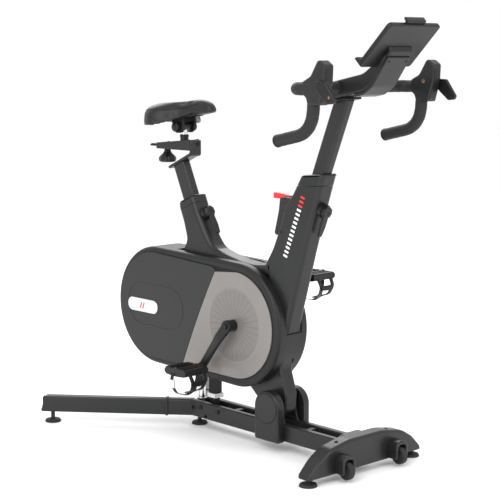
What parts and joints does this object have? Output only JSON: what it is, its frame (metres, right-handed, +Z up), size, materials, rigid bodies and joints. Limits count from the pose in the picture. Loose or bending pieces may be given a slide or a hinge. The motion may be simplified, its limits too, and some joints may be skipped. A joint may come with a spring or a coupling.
{
  "type": "exercise bike",
  "caption": "Upright indoor cycle with a tilting frame on a low base, drop handlebar, adjustable saddle, enclosed flywheel and a sloping tablet tray.",
  "frame": {"origin": "centre of the bounding box on the floor", "axes": "+X forward, +Y to the rider's left, +Z up"},
  "size_m": [1.2095, 0.687, 1.2296],
  "materials": {
    "charcoal_metal": "satin powder coat",
    "frame_plastic": "satin moulded",
    "shroud_plastic": "fine textured",
    "silver_panel": "warm metallic paint",
    "bar_tape": "soft grip tape",
    "saddle_cover": "smooth synthetic leather",
    "bright_steel": "bright plated",
    "black_steel": "black oxide",
    "cast_iron": "machined",
    "alloy": "turned",
    "black_rubber": "matt",
    "pedal_plastic": "matt moulded",
    "strap_webbing": "woven strap",
    "red_plastic": "glossy red"
  },
  "bodies": {
    "base": {"base_frame": "charcoal_metal", "rear_leg_left": "charcoal_metal", "rear_leg_right": "charcoal_metal", "front_stabiliser": "charcoal_metal", "pivot_covers": "shroud_plastic", "pivot_shaft": "bright_steel", "base_fasteners": "black_steel"},
    "frame": {"frame_neck": "charcoal_metal", "core_frame": "charcoal_metal", "front_tube": "frame_plastic", "top_beam": "frame_plastic", "seat_tube": "frame_plastic", "tube_collars": "frame_plastic", "shroud_left": "shroud_plastic", "shroud_right": "shroud_plastic", "side_panels": "shroud_plastic", "front_panels": "silver_panel", "bearings": "bright_steel", "drive_belt": "black_rubber", "frame_fasteners": "black_steel"},
    "crank": {"crank_axle": "bright_steel", "drive_pulley": "alloy", "crank_arm_left": "charcoal_metal", "crank_arm_right": "charcoal_metal", "pedal_spindles": "bright_steel"},
    "pedal_left_body": {"pedal_left": "pedal_plastic", "toe_strap_left": "strap_webbing"},
    "pedal_right_body": {"pedal_right": "pedal_plastic", "toe_strap_right": "strap_webbing"},
    "flywheel_body": {"flywheel": "cast_iron"},
    "magnet_brake": {"magnet_bracket": "black_steel"},
    "lift_upper": {"lift_outer": "black_steel"},
    "lift_lower": {"lift_inner": "charcoal_metal"},
    "damper_upper": {"damper_body": "black_steel"},
    "damper_lower": {"damper_rod": "bright_steel"},
    "seat_column": {"seat_post": "charcoal_metal", "seat_channel": "charcoal_metal"},
    "seat_knob": {"slide_knob": "shroud_plastic"},
    "saddle_slider": {"saddle_stem": "bright_steel"},
    "saddle_top": {"saddle_rails": "bright_steel", "saddle": "saddle_cover"},
    "head_column": {"head_post": "charcoal_metal", "handlebar": "bar_tape", "hoods": "frame_plastic", "console_arm": "frame_plastic", "console_arm_plate": "silver_panel", "tablet_tray": "shroud_plastic"},
    "clip": {"tray_clip": "pedal_plastic"},
    "brake_left": {"brake_lever_left": "shroud_plastic"},
    "brake_right": {"brake_lever_right": "shroud_plastic"},
    "seat_clamp": {"seat_clamp_lever": "shroud_plastic"},
    "head_clamp": {"head_clamp_lever": "shroud_plastic"},
    "stop": {"stop_lever": "red_plastic"},
    "wheel_left": {"transport_wheel_left": "black_rubber"},
    "wheel_right": {"transport_wheel_right": "black_rubber"},
    "leveller_mid": {"foot_mid": "black_rubber"},
    "leveller_rear_left": {"foot_rear_left": "black_rubber"},
    "leveller_rear_right": {"foot_rear_right": "black_rubber"},
    "leveller_front_left": {"foot_front_left": "black_rubber"},
    "leveller_front_right": {"foot_front_right": "black_rubber"}
  },
  "joints": [
    {"name": "tilt", "type": "hinge", "parent": "base", "child": "frame", "pos_m": [0.1175, 0, 0.124], "axis": [0, -1, 0], "range_deg": [-6, 8]},
    {"name": "lift_upper_pivot", "type": "hinge", "parent": "frame", "child": "lift_upper", "pos_m": [-0.1705, 0, 0.24], "axis": [0, -1, 0], "range_deg": [-3.3, 2.5]},
    {"name": "lift_lower_pivot", "type": "hinge", "parent": "base", "child": "lift_lower", "pos_m": [-0.1705, 0, 0.042], "axis": [0, -1, 0], "range_deg": [-3.7, 4.9]},
    {"name": "damper_upper_pivot", "type": "hinge", "parent": "frame", "child": "damper_upper", "pos_m": [-0.2325, 0, 0.25], "axis": [0, -1, 0], "range_deg": [-2.7, 2]},
    {"name": "damper_lower_pivot", "type": "hinge", "parent": "base", "child": "damper_lower", "pos_m": [-0.2325, 0, 0.06], "axis": [0, -1, 0], "range_deg": [-4.2, 5.6]},
    {"name": "flywheel_spin", "type": "hinge", "parent": "frame", "child": "flywheel_body", "pos_m": [-0.3815, 0, 0.358], "axis": [0, 1, 0], "continuous": true},
    {"name": "crank_spin", "type": "hinge", "parent": "frame", "child": "crank", "pos_m": [-0.0175, 0, 0.348], "axis": [0, 1, 0], "continuous": true},
    {"name": "pedal_left_spin", "type": "hinge", "parent": "crank", "child": "pedal_left_body", "pos_m": [0.08599, 0.157, 0.48287], "axis": [0, 1, 0], "continuous": true},
    {"name": "pedal_right_spin", "type": "hinge", "parent": "crank", "child": "pedal_right_body", "pos_m": [-0.12099, -0.157, 0.21313], "axis": [0, 1, 0], "continuous": true},
    {"name": "magnet_swing", "type": "hinge", "parent": "frame", "child": "magnet_brake", "pos_m": [-0.2675, 0, 0.472], "axis": [0, 1, 0], "range_deg": [0, 7]},
    {"name": "seat_height", "type": "slide", "parent": "frame", "child": "seat_column", "axis": [-0.4147, 0, 0.91], "range_m": [-0.07, 0.09]},
    {"name": "saddle_fore_aft", "type": "slide", "parent": "seat_column", "child": "saddle_slider", "axis": [1, 0, 0], "range_m": [-0.04, 0.03]},
    {"name": "saddle_tilt", "type": "hinge", "parent": "saddle_slider", "child": "saddle_top", "pos_m": [-0.3075, 0, 0.908], "axis": [0, 1, 0], "range_deg": [-8, 8]},
    {"name": "seat_knob_turn", "type": "hinge", "parent": "seat_column", "child": "seat_knob", "pos_m": [-0.3875, 0, 0.838], "axis": [0, 0, 1], "range_deg": [-120, 120]},
    {"name": "handlebar_height", "type": "slide", "parent": "frame", "child": "head_column", "axis": [0.3746, 0, 0.9272], "range_m": [-0.09, 0.08]},
    {"name": "clip_slide", "type": "slide", "parent": "head_column", "child": "clip", "axis": [0.7071, 0, 0.7071], "range_m": [0, 0.045], "stiffness_N_per_m": 120, "springref_m": -0.02},
    {"name": "brake_left_pull", "type": "hinge", "parent": "head_column", "child": "brake_left", "pos_m": [0.4805, 0.237, 1.05], "axis": [0, 1, 0], "range_deg": [0, 10], "stiffness_Nm_per_rad": 2, "springref_deg": -5.73},
    {"name": "brake_right_pull", "type": "hinge", "parent": "head_column", "child": "brake_right", "pos_m": [0.4805, -0.237, 1.05], "axis": [0, 1, 0], "range_deg": [0, 10], "stiffness_Nm_per_rad": 2, "springref_deg": -5.73},
    {"name": "seat_clamp_turn", "type": "hinge", "parent": "frame", "child": "seat_clamp", "pos_m": [-0.21293, 0, 0.65173], "axis": [0.91, 0, 0.4147], "range_deg": [-90, 90]},
    {"name": "head_clamp_turn", "type": "hinge", "parent": "frame", "child": "head_clamp", "pos_m": [0.27, 0, 0.703], "axis": [0.9478, 0, -0.319], "range_deg": [-90, 90]},
    {"name": "stop_lever_press", "type": "hinge", "parent": "frame", "child": "stop", "pos_m": [0.1465, 0, 0.726], "axis": [0, 1, 0], "range_deg": [-7, 0], "stiffness_Nm_per_rad": 1, "springref_deg": 5.73},
    {"name": "wheel_left_spin", "type": "hinge", "parent": "base", "child": "wheel_left", "pos_m": [0.4715, 0.106, 0.031], "axis": [0, 1, 0], "continuous": true},
    {"name": "wheel_right_spin", "type": "hinge", "parent": "base", "child": "wheel_right", "pos_m": [0.4715, -0.106, 0.031], "axis": [0, 1, 0], "continuous": true},
    {"name": "level_mid", "type": "slide", "parent": "base", "child": "leveller_mid", "axis": [0, 0, -1], "range_m": [0, 0.012]},
    {"name": "level_rear_left", "type": "slide", "parent": "base", "child": "leveller_rear_left", "axis": [0, 0, -1], "range_m": [0, 0.012]},
    {"name": "level_rear_right", "type": "slide", "parent": "base", "child": "leveller_rear_right", "axis": [0, 0, -1], "range_m": [0, 0.012]},
    {"name": "level_front_left", "type": "slide", "parent": "base", "child": "leveller_front_left", "axis": [0, 0, -1], "range_m": [0, 0.012]},
    {"name": "level_front_right", "type": "slide", "parent": "base", "child": "leveller_front_right", "axis": [0, 0, -1], "range_m": [0, 0.012]}
  ],
  "couplings": [
    {"joint": "lift_upper_pivot", "follows": "tilt", "ratio": -0.4},
    {"joint": "lift_lower_pivot", "follows": "tilt", "ratio": 0.6},
    {"joint": "damper_upper_pivot", "follows": "tilt", "ratio": -0.32},
    {"joint": "damper_lower_pivot", "follows": "tilt", "ratio": 0.68},
    {"joint": "crank_spin", "follows": "flywheel_spin", "ratio": 0.2}
  ]
}
